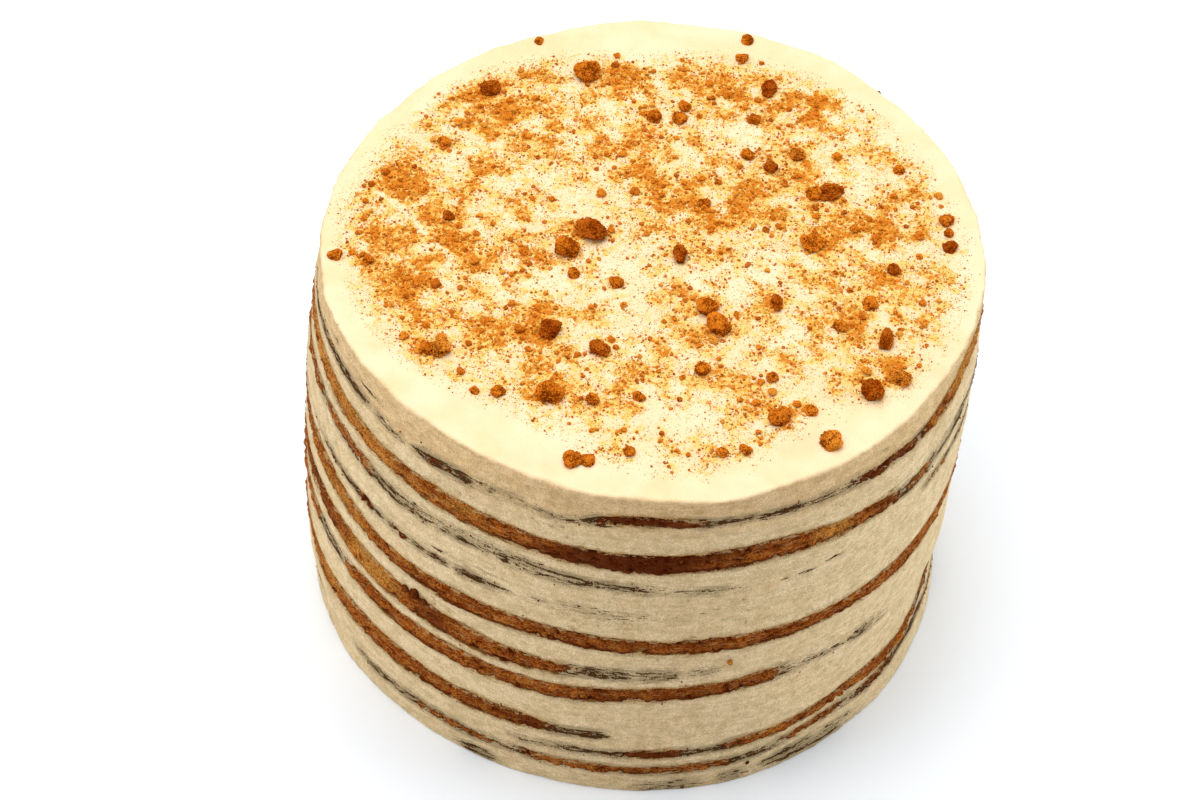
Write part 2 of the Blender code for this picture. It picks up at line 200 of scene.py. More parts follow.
# Long crumbs, counted in the list above: (length across, length back, turn)
LONG_CRUMBS = {0: (6.6, 4.6, -24), 2: (2.9, 5, 4), 12: (3.6, 5.6, 10), 16: (2.6, 5.2, -8),
               18: (2.3, 4.2, 0), 20: (6, 3.6, 12), 26: (3.2, 4.8, 0)}
# Crumbs by tone, counted in the list above; the rest are orange-brown
DARK_CRUMBS = (0, 2, 5, 6, 7, 16, 18, 20, 22, 25, 26, 30, 38, 40, 44)
GOLDEN_CRUMBS = (8, 9, 12, 17, 23, 24, 51)
# Finer crumbs: name, how many, least and most width, how finely each is cut, how strongly they
# keep to the dust, the lightest tone, and (how many, size, height) granules
FINER_CRUMBS = (
    ("middling_crumbs", 90, 1.2, 2.1, 4, 1.5, 0.1, ((10, 0.8, 0.2), (70, 0.3, 0.16))),
    ("small_crumbs", 1100, 0.5, 1.15, 2, 1.6, 0.1, ((7, 0.9, 0.35),)),
    ("fine_crumbs", 7000, 0.24, 0.5, 1, 1.1, 0.1, ((3, 1, 0.3),)),
    ("crumb_dust", 21000, 0.12, 0.26, 0, 0.45, -0.6, ((2, 1, 0.2),)),
)
# Crumbs at the side: (angle, height, width, darkness)
SIDE_LUMPS = (
    (-129.5, 38.4, 2.4, 0.95), (-131.5, 38, 1.6, 0.9), (-127.5, 37.6, 1.5, 0.8), (-72, 38, 1.2, -0.8),
    (-142.5, 52.9, 1.3, 1), (-106, 7.4, 0.9, 1), (-66, 4.8, 0.8, 1), (-136, 34.6, 1.1, -0.5),
    (-143, 35.6, 1.2, -0.4), (-54, 65.4, 0.9, -0.6), (49, 82.6, 1.1, 0.7), (120, 44.6, 1.6, 0.7),
    (150, 29, 1.3, 0.6), (30, 66, 1.4, 0.8), (84, 35.5, 1.4, 0.7),
)
# Faint smears of crumb dragged over the cream: (angle, height, length in degrees, thickness, strength)
SMEARS = (
    (-156, 80.4, 2.2, 0.5, 0.8), (-144, 79.3, 4, 0.45, 0.95), (-139, 76.7, 1.4, 1, 0.7),
    (-137, 75.4, 4, 0.4, 0.8), (-124, 54.4, 4, 0.6, 0.7), (-115, 54.7, 3, 0.45, 0.85),
    (-90, 60, 7, 1.5, 0.5), (-102, 53.5, 1.2, 0.4, 0.75), (-98.7, 53.3, 0.8, 0.4, 0.75),
    (-96, 53.3, 0.8, 0.35, 0.7), (-84, 59, 12, 0.5, 0.45), (-95.5, 76.2, 2, 0.5, 1),
    (-92.5, 76.5, 1, 0.4, 0.9), (-69, 76.7, 1.2, 0.5, 1), (-43, 68.5, 7, 0.35, 0.75),
    (-24, 68, 7, 1.2, 0.5), (-110, 62, 7, 0.6, 0.9), (-120, 75.6, 8, 0.5, 0.45), (-82, 39, 1, 0.4, 0.6),
    (-93, 52, 14, 2.5, 0.3), (-53.5, 58.9, 1.8, 0.45, 1), (-59.5, 58.3, 2.2, 0.35, 0.85),
    (-63.5, 58.6, 0.9, 0.3, 0.8), (-101, 75.7, 3.2, 0.4, 1), (-117, 52.3, 3.6, 0.45, 1),
    (-112, 60.1, 3.4, 0.4, 0.9), (-71, 77, 1.8, 0.8, 0.7), (-64, 77.9, 2.2, 0.3, 1),
    (-51.5, 77, 1, 0.8, 0.9), (-45, 31.2, 1.2, 0.5, 0.8), (-53.5, 30.8, 1, 0.5, 0.9),
    (-30, 66.6, 5, 0.8, 0.6), (130, 60.5, 12, 0.7, 0.8), (60, 51, 14, 0.8, 0.6), (10, 22, 16, 0.9, 0.5),
    (90, 24, 14, 0.7, 0.7),
)

# Patches of dust and fine crumbs: (x, y, spread, strength)
PATCHES = (
    (-36, 36, 5.5, 1), (-25, 44, 4.5, 0.8), (-47, 12, 5, 1), (-39, 6, 4.5, 0.9), (-37, -3, 4.5, 0.9),
    (-44, -11, 4, 1), (-21, 25, 6, 0.6), (29, 41, 4.5, 0.8), (6, 36, 5, 0.7), (18, 9, 6, 0.6),
    (-21, -22, 5, 0.9), (-17, -36, 4.5, 0.9), (43, -6, 5, 0.6), (43, -27, 4, 0.8), (0, 14, 7, 0.5),
    (39, -17, 5, 0.6), (-30, 29, 4, 0.6), (-5, 44, 8, 0.6), (12, 45, 6, 0.5), (-51, 1, 4, 0.5),
    (30, 9, 5, 0.6), (42, 8, 4, 0.6), (-32, 14, 5, 0.4), (26, 25, 5, 0.4),
)
PATCH_STRENGTH = 0.79
# The dust that lies round each crumb as wide as this
HALO_WIDTH = 2.7
HALO_STRENGTH = 0.5
# How far out the dust reaches, and where it reaches less or more
DUST_REACH = 56.0
DUST_REACH_WAVES = ((-118, -7, 24), (-52, -6, 17), (98, -4.5, 22), (178, 2.5, 16), (0, 1.5, 20))
# Thin ridges of cream that lie on the dust: (x, y) of both ends, width and height
RIDGES = (
    (-51.6, 9.4, -45.6, 4.8, 1.3, 0.32), (-45.6, 4.8, -41.8, -0.6, 1.2, 0.28),
    (-39.8, -2.6, -35.6, -6.2, 1.3, 0.28),
)

# The camera, found by fitting the rim, the base and both sides in the photo
FOCAL_PIXELS = 3787.0
PHOTO_WIDTH = 1200.0
SENSOR = 36.0
AIM = (-8.0, -37.9, 83.9)
CAMERA_DISTANCE = 658.9
CAMERA_ELEVATION = 47.904
CAMERA_ROLL = 4.198

# The lamps: name, place and target in metres, size in metres, watts and colour
WHITE = (1.0, 1.0, 1.0)
COOL = (0.84, 0.94, 1.0)
LAMPS = (
    ("overhead", (-0.2, 0.12, 1.1), (0, 0, 0.05), (1.9, 1.2), 21, WHITE),
    ("low_right", (1, 0.05, 0.2), (0, 0, 0.04), (0.5, 0.3), 5.7, COOL),
    ("low_left", (-1, -0.3, 0.14), (0, 0, 0.02), (0.7, 0.25), 3, COOL),
)
ROOM_LIGHT = 0.3
FLOOR_SIZE = 4.0
FLOOR_COLOUR = (0.895, 0.93, 0.975, 1)


def wrapped(angle):
    """An angle brought to between -180 and 180."""
    return (np.asarray(angle, float) + 180) % 360 - 180


def bell(distance, width):
    """A smooth bump: exp(-(distance / width) squared)."""
    return np.exp(-(distance / width) ** 2)


def bumps(angle, table):
    """Sum of bumps round the cake: each its height times the bell of the angle from its middle."""
    bells = (height * bell(wrapped(angle - middle), width) for middle, height, width in table)
    return sum(bells, np.zeros(np.shape(angle)))


def eased(value, low, high):
    """0 below low, 1 above high, and 3t^2 - 2t^3 between."""
    t = np.clip((value - low) / (high - low), 0, 1)
    return t * t * (3 - 2 * t)


def outline(angle, height):
    """Radius at an angle and a height: a circle, the rim's bumps times a bell down from the rim,
    a parabola up the left and a bell low on the right, each times |cos|^3, and at the waist a
    parabola times sin^2."""
    turn = np.radians(angle)
    sideways = np.abs(np.cos(turn)) ** 3
    bulge = LEFT_BULGE * (1 - ((height - LEFT_BULGE_HEIGHT) / LEFT_BULGE_REACH) ** 2)
    dip = -RIGHT_DIP * bell(height - RIGHT_DIP_HEIGHT, RIGHT_DIP_REACH)
    rim = bumps(angle, RIM_WAVES) * bell(HEIGHT - height, RIM_DEPTH)
    waist = WAIST_SWELL * (1 - (2 * height / HEIGHT - 1) ** 2) * np.sin(turn) ** 2
    return RADIUS + rim + waist + np.where(np.cos(turn) < 0, bulge, dip) * sideways


def side_shape(angle, height):
    """Radius of the cake's side: the outline, plus each swell as its rise times a bell round
    the cake and a bell up it."""
    swells = (rise * bell(wrapped(angle - middle), width) * bell(height - level, depth)
              for middle, level, rise, width, depth in SIDE_SWELLS)
    return sum(swells, outline(angle, height))


def middle_of_outline():
    """Middle of the box round the outline, which lies at the origin."""
    angle, height = np.meshgrid(np.arange(60) * 6 - 180, np.linspace(0, HEIGHT, 85))
    radius = outline(angle, height)
    ways = (radius * np.cos(np.radians(angle)), radius * np.sin(np.radians(angle)))
    return [(way.min() + way.max()) / 2 for way in ways]


MIDDLE_X, MIDDLE_Y = middle_of_outline()
ANGLES = np.arange(COLUMNS) * 360 / COLUMNS - 180
# What the coat marks in the cream
MARKS = ("veil", "strand", "fringe")


def lattice(u, v, table):
    """Random numbers at the corners of a lattice, blended by 3t^2 - 2t^3 between them.
    The lattice repeats in u, so it closes round the cake."""
    rows, count = table.shape
    column, row = np.floor(u).astype(int), np.floor(v).astype(int)
    across, up = eased(u - column, 0, 1), eased(v - row, 0, 1)
    low, high = (table[line % rows, column % count] * (1 - across)
                 + table[line % rows, (column + 1) % count] * across for line in (row, row + 1))
    return low * (1 - up) + high * up


def side_noise(angle, height, across, tall, seed):
    """Noise from -1 to 1 on the side, in cells across mm wide and tall mm high."""
    count = max(3, round(2 * math.pi * RADIUS / across))
    table = np.random.default_rng(seed).uniform(-1, 1, (int(120 / tall) + 3, count))
    return lattice((angle + 180) / 360 * count, height / tall + 4, table)


def top_noise(x, y, cell, seed):
    """Noise from -1 to 1 on the top, in square cells turned a little from the axes."""
    count = int(200 / cell) + 3
    table = np.random.default_rng(seed).uniform(-1, 1, (count, count))
    return lattice((0.8 * x + 0.6 * y + 100) / cell, (0.8 * y - 0.6 * x + 100) / cell, table)


def relief(noise, first, second, table, seed):
    """Sum of a noise in several sizes: each its rise times the noise, seeded one after another."""
    return sum(rise * noise(first, second, *cell, seed + number)
               for number, (rise, *cell) in enumerate(table))


class Biscuit(namedtuple("Biscuit", "number level thickness waves swells arcs darks")):
    """A biscuit: its number, its row of the table, and its form at an angle round the cake."""

    def middle(self, angle):
        """Height of its middle: its level and its waves."""
        return self.level + bumps(angle, self.waves)

    def half(self, angle):
        """Half of its thickness, with its swellings."""
        return (self.thickness + bumps(angle, self.swells)) / 2

    def bareness(self, angle):
        """How bare its edge is, from 0, covered, to 1: the most that any arc gives, each arc
        easing off at its ends."""
        bare = np.zeros(np.shape(angle))
        for start, end, amount in self.arcs:
            beyond = np.abs(wrapped(angle - (start + end) / 2)) - (end - start) / 2
            soft = min(ARC_SOFTNESS, 0.7 * (end - start)) / 2
            bare = np.maximum(bare, amount * eased(-beyond, -soft, soft))
        return bare

    def cover(self, angle, height):
        """Thickness of the cream over its edge: hidden up to a bareness of 0.5 and bare from
        0.75, plus smears drawn out along the side and fine breaks, which grow with it."""
        bare = eased(self.bareness(angle), 0.5, 0.75)
        smears = relief(side_noise, angle, height, COVER_SMEARS, 100 + 10 * self.number)
        return COVER_HIDDEN + (COVER_BARE - COVER_HIDDEN) * bare + smears * (0.45 + 0.55 * bare)

    def beyond(self, angle, height, narrowed):
        """How far a point is above or below a share of its edge, with a ragged border."""
        ragged = relief(side_noise, angle, height, RAGGED_BORDER, 300 + 10 * self.number)
        return np.abs(height - self.middle(angle)) - ragged - self.half(angle) * narrowed


BISCUITS = [Biscuit(number, *row) for number, row in enumerate(BISCUIT_ROWS)]


def coat(angle, height, biscuits):
    """Radius of the scraped cream, and three marks of the biscuits in it. The radius is the
    side's shape plus relief in four sizes, less pits, and it dips to the edge's radius plus its
    cover beside each biscuit. The veil is where an edge shows through thin cream, the strands
    are drawn out along such an edge's two borders and under a bare edge, and the fringe tints
    the cream beside a bare edge. A smear is a bell in the veil and the strands."""
    pits = eased(side_noise(angle, height, 1.1, 0.8, 5), 0.66, 0.92)
    pits = pits * eased(side_noise(angle, height, 12, 8, 6), -0.2, 0.5)
    shape = side_shape(angle, height)
    radius = shape + relief(side_noise, angle, height, CREAM_RELIEF, 1) - PIT_DEPTH * pits - COAT_SINK
    # The pits start with a little of the veil and the strands, so they show darker
    veil, strand, fringe = 0.3 * pits, 0.25 * pits, 0 * pits
    for biscuit in biscuits:
        bare = biscuit.bareness(angle)
        thin, gaping = eased(bare, 0, 0.55), eased(bare, 0.6, 0.95)
        band = 1 - eased(biscuit.beyond(angle, height, eased(bare, 0.45, 0.98)), -0.28, 0.28)
        dipped = np.minimum(radius, shape - EDGE_SINK + biscuit.cover(angle, height))
        radius = radius * (1 - band) + dipped * band
        beyond = biscuit.beyond(angle, height, 0.45 + 0.55 * eased(bare, 0, 0.9))
        upper = eased(height - biscuit.middle(angle), -0.3, 0.3)
        patchy = 0.85 + 0.4 * side_noise(angle, height, 9, 2, 700 + biscuit.number)
        veil = np.maximum(veil, (1 - eased(beyond, -0.3, 2)) * thin * (1 - 0.5 * gaping) * patchy)
        drawn = (1 - eased(beyond, 0, 0.7)) * (0.45 + 0.55 * bell(beyond + 0.35, 0.5))
        under = (1 - eased(beyond, -0.1, 0.7)) * gaping * (1 - upper)
        strand = np.maximum(strand, np.maximum(drawn * thin * (1 - 0.6 * gaping), under) * patchy)
        fringe = np.maximum(fringe, (1 - eased(beyond, -0.1, 1.5)) * gaping * (0.6 + 0.4 * upper))
    for middle, level, length, thickness, strength in SMEARS:
        smear = strength * bell(wrapped(angle - middle), length) * bell(height - level, thickness)
        veil = np.maximum(veil, 0.8 * smear)
        strand = np.maximum(strand, 0.85 * smear)
    return radius, (veil, strand, fringe)


def side_points(angle, radius, height):
    """Points from angle, radius and height, in the frame's axes."""
    turn = np.radians(angle)
    return np.stack((radius * np.cos(turn) - MIDDLE_X, radius * np.sin(turn) - MIDDLE_Y,
                     np.broadcast_to(height, radius.shape)), axis=-1)


def finish_piece(mesh, name, material, smooth=True):
    """Makes a mesh a piece of the cake: its material, slot and ride."""
    mesh.materials.append(material)
    mesh.polygons.foreach_set("use_smooth", np.full(len(mesh.polygons), smooth))
    mesh.update()
    piece = bpy.data.objects.new(name, mesh)
    bpy.context.scene.collection.objects.link(piece)
    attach(piece, "root")
    return piece


def mesh_from(name, points, faces, values):
    """A mesh from an array of points in mm, arrays of faces with equal corners, and named
    values at the points."""
    mesh = bpy.data.meshes.new(name)
    mesh.vertices.add(len(points))
    mesh.vertices.foreach_set("co", (points * MM).astype(np.float32).ravel())
    corners = np.concatenate([face.ravel() for face in faces])
    sizes = np.concatenate([np.full(len(face), face.shape[1]) for face in faces])
    mesh.loops.add(len(corners))
    mesh.loops.foreach_set("vertex_index", corners.astype(np.int32))
    mesh.polygons.add(len(sizes))
    mesh.polygons.foreach_set("loop_start", (np.cumsum(sizes) - sizes).astype(np.int32))
    for key, value in values.items():
        layer = mesh.attributes.new(key, "FLOAT", "POINT")
        layer.data.foreach_set("value", value.astype(np.float32))
    mesh.update(calc_edges=True)
    mesh.validate()
    return mesh


def round_body(name, rows, values):
    """A closed body from rings of points, listed from its top down: a fan from a pole in the
    first ring's plane, quads between rings that close round the cake, and a fan below."""
    count, columns = rows.shape[:2]
    here = np.arange(columns)
    after = (here + 1) % columns
    first = np.arange(count - 1)[:, None] * columns
    quads = np.stack((first + here, first + columns + here, first + columns + after, first + after), axis=-1)
    top, bottom = count * columns, count * columns + 1
    last = (count - 1) * columns
    fans = np.concatenate((np.stack((np.full(columns, top), here, after), axis=-1),
                           np.stack((np.full(columns, bottom), last + after, last + here), axis=-1)))
    poles = [(-MIDDLE_X, -MIDDLE_Y, rows[end, :, 2].mean()) for end in (0, -1)]
    points = np.concatenate((rows.reshape(-1, 3), poles))
    at_points = {key: np.concatenate((value.ravel(), [value[0].mean(), value[-1].mean()]))
                 for key, value in values.items()}
    return mesh_from(name, points, (quads.reshape(-1, 4), fans), at_points)


def grid_normals(rows):
    """Unit normals of a ring grid, from the differences of its neighbours both ways."""
    around = np.roll(rows, -1, axis=1) - np.roll(rows, 1, axis=1)
    padded = np.concatenate((rows[:1], rows, rows[-1:]))
    normals = np.cross(padded[2:] - padded[:-2], around)
    return normals / np.maximum(np.linalg.norm(normals, axis=-1, keepdims=True), 1e-9)


def set_normals(mesh, skin_normals, rows_above, rows_below):
    """Shades the skin by given normals, so that neighbours shade as one, and the hidden
    rings and poles by up and down."""
    up, down = (0.0, 0.0, 1.0), (0.0, 0.0, -1.0)
    normals = np.concatenate((np.tile(up, (rows_above * COLUMNS, 1)), skin_normals.reshape(-1, 3),
                              np.tile(down, (rows_below * COLUMNS, 1)), (up, down)))
    mesh.normals_split_custom_set_from_vertices(normals.tolist())


def hidden_ring(level, inset):
    """A ring inside the cake at a level, a way in from the outline."""
    return side_points(ANGLES, outline(ANGLES, level) - inset, level)


def blank_rows(value, above, below):
    """A skin's values with zeros for its hidden rings."""
    return np.concatenate((np.zeros((above, COLUMNS)), value, np.zeros((below, COLUMNS))))


def cream_piece(name, skin, values, above, below, material):
    """A piece of cream: a skin between the hidden rings above and below it. The skin's last
    ring, and its first under a hidden one, only help to shade it."""
    kept, hidden = slice(len(above), -1), (len(above), len(below))
    rows = np.stack((*above, *skin[kept], *below))
    mesh = round_body(name, rows, {key: blank_rows(value[kept], *hidden) for key, value in values.items()})
    piece = finish_piece(mesh, name, material)
    set_normals(mesh, grid_normals(skin)[kept], *hidden)
    return piece


def cream_layer(name, upper, lower, material):
    """The cream between two biscuits: the coat from the middle of the edge above to the
    middle of the edge below, and hidden flat faces that close it. The lowest goes down to the
    foot as a skirt over the base."""
    high, low = upper.middle(ANGLES), lower.middle(ANGLES)
    under = low + lower.half(ANGLES) + SKIN_GAP
    closing = [hidden_ring(under, HIDDEN_INSET)]
    foot = lower.level
    if lower is BISCUITS[-1]:
        foot = SKIN_GAP
        low = np.full(COLUMNS, foot)
        closing = [hidden_ring(low, SKIRT_INSET), hidden_ring(under, SKIRT_INSET)] + closing
    steps = max(4, round(float(np.mean(high - low)) / ROW_HEIGHT))
    share = np.arange(-1, steps + 2)[:, None] / steps
    height = high + (low - high) * share
    lie = np.broadcast_to(upper.level + (foot - upper.level) * share, height.shape)
    angle = np.broadcast_to(ANGLES, height.shape)
    radius, marks = coat(angle, height, (upper, lower))
    opening = [hidden_ring(high - upper.half(ANGLES) - SKIN_GAP, HIDDEN_INSET)]
    return cream_piece(name, side_points(angle, radius, height), dict(zip(MARKS, marks), lie=lie * MM),
                       opening, closing, material)


def ridge_on_top(x, y):
    """How high the ridges stand at a place: each a bell across its line, full between its ends."""
    total = np.zeros(np.broadcast(x, y).shape)
    for x0, y0, x1, y1, width, height in RIDGES:
        length = math.hypot(x1 - x0, y1 - y0)
        along = ((x - x0) * (x1 - x0) + (y - y0) * (y1 - y0)) / length
        across = ((x - x0) * (y1 - y0) - (y - y0) * (x1 - x0)) / length
        past = np.abs(along - length / 2) - length / 2
        total = np.maximum(total, height * bell(across, width / 2) * (1 - eased(past, -0.8, 0.8)))
    return total


def top_surface(x, y):
    """Height of the smoothed top: slow waves of its rim, spatula marks in three sizes, which
    fade to the rim, and the ridges."""
    from_middle = np.hypot(x, y) / RADIUS
    waves = bumps(np.degrees(np.arctan2(y, x)), TOP_WAVES) * eased(from_middle, 0.55, 1)
    marks = relief(top_noise, x, y, SPATULA_MARKS, 31) * (1 - 0.6 * eased(from_middle, 0.8, 1))
    return HEIGHT + waves + marks + ridge_on_top(x, y) - TOP_SINK


def dust_density(x, y):
    """How thick the dust lies on the top, from 0 to 1: an even strewing that stops short of
    the rim, clumped by noise, and patches, each a bell broken up by noise, thinner on the ridges."""
    reach = DUST_REACH + bumps(np.degrees(np.arctan2(y, x)), DUST_REACH_WAVES)
    inside = eased(reach - np.hypot(x, y), -1.5, 5.5)
    clumps = 0.5 + relief(top_noise, x, y, DUST_CLUMPS, 41)
    patches = np.zeros(np.broadcast(x, y).shape)
    halos = [(cx, cy, 0.5 * width, HALO_STRENGTH) for cx, cy, width in CRUMBS if width > HALO_WIDTH]
    for px, py, spread, strength in (*PATCHES, *halos):
        away = ((x - px) ** 2 + (y - py) ** 2) / (2 * spread ** 2)
        patches = np.maximum(patches, PATCH_STRENGTH * strength * np.exp(-away))
    patches = patches * (1 + relief(top_noise, x, y, PATCH_BREAKS, 43))
    density = np.clip(np.clip(clumps, 0.1, 1.3) * 0.6 + 0.75 * patches, 0, 1) * inside
    return density * (1 - 0.7 * eased(ridge_on_top(x, y), 0.05, 0.15))


def cream_top(name, material):
    """The top cream in one skin: rings from the middle out, a rounded rim whose radius
    changes round the cake, and the coat down to the middle of the first biscuit."""
    turn = np.radians(ANGLES)
    corner = CORNER + relief(side_noise, ANGLES, HEIGHT, CORNER_WAVES, 51)
    wall, _ = coat(ANGLES, HEIGHT + bumps(ANGLES, TOP_WAVES) - corner, BISCUITS[:1])
    wall = wall + relief(side_noise, ANGLES, HEIGHT, WALL_WAVES, 53)
    reach = wall - corner
    flat_radius = reach * np.linspace(0, 1, TOP_RINGS + 2)[1:-1, None] ** 0.8
    flat_height = top_surface(flat_radius * np.cos(turn), flat_radius * np.sin(turn))
    shoulder = top_surface(reach * np.cos(turn), reach * np.sin(turn)) - corner
    bend = np.linspace(0, math.pi / 2, BEND_RINGS + 1)[:-1, None]
    low = BISCUITS[0].middle(ANGLES)
    drop = np.arange(RIM_ROWS + 2)[:, None] / RIM_ROWS
    side_height = shoulder * (1 - drop) + low * drop
    side_angle = np.broadcast_to(ANGLES, side_height.shape)
    side_radius, marks = coat(side_angle, side_height, BISCUITS[:1])
    leaning = wall + side_shape(side_angle, side_height) - side_shape(side_angle, side_height[:1])
    leant = 1 - eased(drop, 0, 0.3)
    side_radius = side_radius * (1 - leant) + leaning * leant
    radius = np.concatenate((flat_radius, reach + corner * np.sin(bend), side_radius))
    height = np.concatenate((flat_height, shoulder + corner * np.cos(bend), side_height))
    skin = side_points(np.broadcast_to(ANGLES, radius.shape), radius, height)
    crown = 1 - eased(np.arange(len(skin)) - TOP_RINGS, 0, BEND_RINGS)[:, None]
    dust = dust_density(radius * np.cos(turn), radius * np.sin(turn)) * crown
    lie = BISCUITS[0].level * drop + (HEIGHT - 1) * (1 - drop)
    lie = np.concatenate((np.full((TOP_RINGS + BEND_RINGS, 1), HEIGHT), lie))
    values = {key: blank_rows(mark, TOP_RINGS + BEND_RINGS, 0) for key, mark in zip(MARKS, marks)}
    values.update(lie=np.broadcast_to(lie * MM, radius.shape), dust=dust,
                  crown=np.broadcast_to(crown, radius.shape))
    closing = [hidden_ring(low + BISCUITS[0].half(ANGLES) + SKIN_GAP, HIDDEN_INSET)]
    return cream_piece(name, skin, values, [], closing, material)


def honey_layer(name, biscuit, material):
    """A biscuit: a crumbly edge whose radius is the side's shape less its sink, plus grain in four
    sizes and lumps, less pores, drawn in at its upper and lower rims and where cream covers it."""
    middle = biscuit.middle(ANGLES)
    half = biscuit.half(ANGLES) + EDGE_MARGIN
    steps = max(6, round(float(np.mean(2 * half)) / EDGE_ROW_HEIGHT))
    share = np.linspace(1, -1, steps + 1)[:, None]
    height = middle + half * share
    if biscuit is BISCUITS[-1]:
        height = np.maximum(height, 0.05)
    angle = np.broadcast_to(ANGLES, height.shape)
    bare = biscuit.bareness(angle)
    seed = 500 + 20 * biscuit.number
    grain = relief(side_noise, angle, height, BISCUIT_GRAIN, seed)
    pores = eased(side_noise(angle, height, 0.9, 0.7, seed + 4), 0.4, 0.9)
    lumps = eased(side_noise(angle, height, 2.6, 2, seed + 5), 0.5, 0.95)
    shape = side_shape(angle, height)
    radius = shape - EDGE_SINK - GRAIN_SINK + grain + 0.35 * lumps - 0.6 * pores
    radius = radius - 0.9 * eased(np.abs(share), 0.8, 1) ** 2
    radius = radius - COVERED_DEPTH * (1 - eased(bare, 0.45, 0.65))
    radius = np.minimum(radius, shape + EDGE_STAND)
    rows = np.concatenate(([hidden_ring(height[0], EDGE_HIDDEN_INSET)], side_points(angle, radius, height),
                           [hidden_ring(height[-1], EDGE_HIDDEN_INSET)]))
    dark = bumps(angle, biscuit.darks) + 0.3 * side_noise(angle, height, 9, 3, seed + 6)
    dark = dark + 0.8 * (1 - eased(bare, 0.35, 0.9))
    # Darker towards the lower border, and along the upper border a little painted shadow of the cream above
    dark = dark + 0.85 * eased(-share, 0.35, 0.9) + 0.2 * eased(share, 0.6, 0.95)
    border = eased(np.abs(height - middle) - biscuit.half(angle), -0.7, 0.1)
    border = np.maximum(border * np.where(share > 0, 1, 0.55), 0.6 * (1 - eased(bare, 0.7, 1)))
    # The grain value is the relief; the finish paints it partly as shade in the pores and highlight on the
    # raised grain
    values = {"dark": dark, "border": border, "grain": 0.5 + (grain + 0.5 * lumps - 0.8 * pores),
              "lie": (biscuit.level + (height - middle)) * MM}
    mesh = round_body(name, rows, {key: blank_rows(value, 1, 1) for key, value in values.items()})
    return finish_piece(mesh, name, material)


def ball(level):
    """Points and triangles of a sphere of radius 1: an octahedron at level 0, then an
    icosahedron cut finer at each level."""
    shape = bmesh.new()
    if level:
        bmesh.ops.create_icosphere(shape, subdivisions=level, radius=1)
    else:
        bmesh.ops.create_uvsphere(shape, u_segments=4, v_segments=2, radius=1)
    bmesh.ops.triangulate(shape, faces=shape.faces)
    points = np.array([vert.co[:] for vert in shape.verts])
    faces = np.array([[vert.index for vert in face.verts] for face in shape.faces])
    shape.free()
    return points, faces


def random_directions(draw, *shape):
    """Unit vectors in every direction alike."""
    ways = draw.normal(size=(*shape, 3))
    return ways / np.linalg.norm(ways, axis=-1, keepdims=True)


def random_turns(draw, count):
    """Rotation matrices whose columns are a random direction, one square to it and their cross."""
    first = random_directions(draw, count)
    second = np.cross(first, random_directions(draw, count))
    second = second / np.linalg.norm(second, axis=-1, keepdims=True)
    return np.stack((first, second, np.cross(first, second)), axis=-1)


def crumb_shapes(level, count, draw, granules):
    """Broken balls: the radius is the nearest of ten random flat breaks, and caps of round
    granules, sqrt(1 - (angle from its middle / its size) squared), stand on it. Then a random
    turn, and a fit to a box from -1 to 1. Also gives how high on a granule each point is."""
    points, faces = ball(level)
    breaks = random_directions(draw, count, 10)
    facing = np.einsum("vi,kbi->kvb", points, breaks)
    distance = draw.uniform(0.64, 1.05, (count, 1, 10)) / np.maximum(facing, 0.3)
    radius = np.minimum(distance.min(axis=-1), 1.1)
    caps = np.zeros_like(radius)
    for number, size, depth in granules:
        middles = random_directions(draw, count, number).astype(np.float32)
        near = 1 - 2 * (1 - np.einsum("vi,kgi->kvg", points.astype(np.float32), middles)) / size ** 2
        cap = np.sqrt(np.clip(near.max(axis=-1), 0, 1))
        radius = radius * (1 + depth * (cap - 0.6))
        caps = caps + cap / len(granules)
    radius = radius * (1 + 0.025 * draw.normal(size=radius.shape))
    shapes = np.einsum("kij,kvj->kvi", random_turns(draw, count), points[None] * radius[..., None])
    low, high = shapes.min(axis=1, keepdims=True), shapes.max(axis=1, keepdims=True)
    return (2 * shapes - low - high) / (high - low), faces, caps


def spans_of(widths, flat=1.0):
    """Lengths both ways and height of crumbs as wide as they are long."""
    return np.outer(widths, (1.0, 1.0, flat))


def listed_spans(widths):
    """Spans of the listed crumbs and their turns: the long ones have their own."""
    spans = spans_of(widths, CRUMB_FLATNESS)
    turns = np.zeros(len(widths))
    for index, (across, back, turn) in LONG_CRUMBS.items():
        spans[index] = (across, back, CRUMB_FLATNESS * min(across, back))
        turns[index] = turn
    return spans, turns


def crumb_piece(name, places, spans, tones, level, granules, draw, material, hollows=0.3, turns=0.0,
                marks=("tone", "tip")):
    """Many crumbs in one mesh: each shape scaled to its spans, turned and moved to its
    place, with its tone and the height of its granules kept at its points under two names."""
    shapes, faces, caps = crumb_shapes(level, len(places), draw, granules)
    points = shapes * (spans[:, None, :] / 2)
    turn = np.radians(np.broadcast_to(turns, len(places)))[:, None]
    across = points[..., 0] * np.cos(turn) - points[..., 1] * np.sin(turn)
    back = points[..., 0] * np.sin(turn) + points[..., 1] * np.cos(turn)
    points = np.stack((across, back, points[..., 2]), axis=-1) + places[:, None, :]
    offsets = np.arange(len(places))[:, None, None] * shapes.shape[1]
    # The height on the granules is painted by the finishes as shade in the hollows and highlight on the tops
    values = dict(zip(marks, (np.repeat(tones, shapes.shape[1]), 1 - hollows * (1 - caps.ravel()))))
    mesh = mesh_from(name, points.reshape(-1, 3), ((faces[None] + offsets).reshape(-1, 3),), values)
    return finish_piece(mesh, name, material, False)


def on_top(x, y, lift):
    """Places on the top, a lift above its surface."""
    return np.stack((x - MIDDLE_X, y - MIDDLE_Y, top_surface(x, y) + lift), axis=-1)


def strewn_places(count, draw, contrast):
    """Seeded places on the top, kept where a draw falls under the dust's density to a power."""
    x, y = draw.uniform(-RADIUS, RADIUS, (2, count * 12))
    kept = np.flatnonzero(draw.uniform(0, 1, len(x)) < dust_density(x, y) ** contrast)[:count]
    return x[kept], y[kept]


